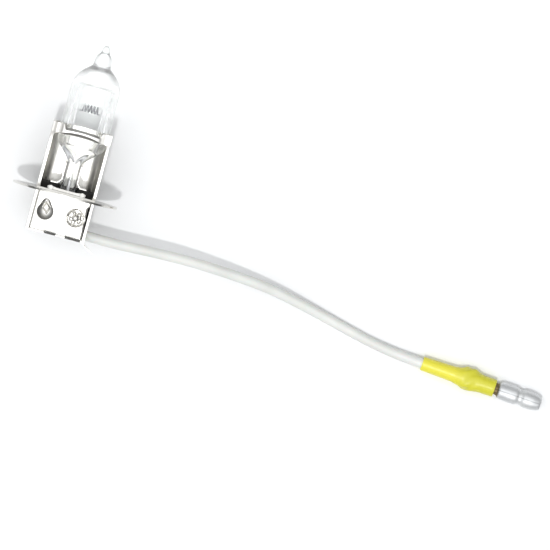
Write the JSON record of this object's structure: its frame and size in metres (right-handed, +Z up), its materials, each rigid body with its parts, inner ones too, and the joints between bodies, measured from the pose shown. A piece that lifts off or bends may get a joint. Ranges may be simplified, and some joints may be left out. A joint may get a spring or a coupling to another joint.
{
  "type": "headlight bulb",
  "caption": "Halogen headlight bulb: clear capsule in a nickel-plated cage on a round flange and box base, with a white lead ending in a yellow-sleeved bullet terminal.",
  "frame": {"origin": "centre of the flange's seat, on the lamp axis, in the plane of the face that points to the glass tip", "axes": "+Y along the lamp axis from the base to the glass tip; +Z up, out of the open side of the cage; +X to the side the lead leaves on"},
  "size_m": [0.1166, 0.0496, 0.022],
  "materials": {
    "quartz": "clear fused quartz",
    "tungsten": "dull drawn wire",
    "molybdenum": "satin",
    "nickel": "bright nickel plate on sheet steel",
    "fibre": "dark pressed fibre",
    "ceramic": "unglazed steatite",
    "copper": "bare stranded copper",
    "tin": "tin plate on brass",
    "silicone": "matt white",
    "yellow_vinyl": "translucent soft vinyl"
  },
  "bodies": {
    "root": {"glass_envelope": "quartz", "filament_coil": "tungsten", "support_wire_left": "molybdenum", "support_wire_right": "molybdenum", "pinch_foil_front": "molybdenum", "pinch_foil_rear": "molybdenum", "outer_lead_ground": "molybdenum", "outer_lead_live": "molybdenum", "bulb_cage": "nickel", "pinch_jaw_left": "nickel", "pinch_jaw_right": "nickel", "insulating_pad": "fibre", "clamp_saddle": "nickel", "saddle_rivet_left": "nickel", "saddle_rivet_right": "nickel", "flange_disc": "nickel", "base_shell": "nickel", "front_plate": "nickel", "block_rivet": "nickel", "insulator_block": "ceramic", "end_plate": "nickel", "joint_ferrule": "tin", "lead_core_base_end": "copper", "lead_bush": "silicone", "lead_end_in_base": "silicone", "lead_insulation": "silicone", "insulating_sleeve": "yellow_vinyl", "bullet_terminal": "tin", "lead_core_plug_end": "copper"}
  },
  "joints": []
}
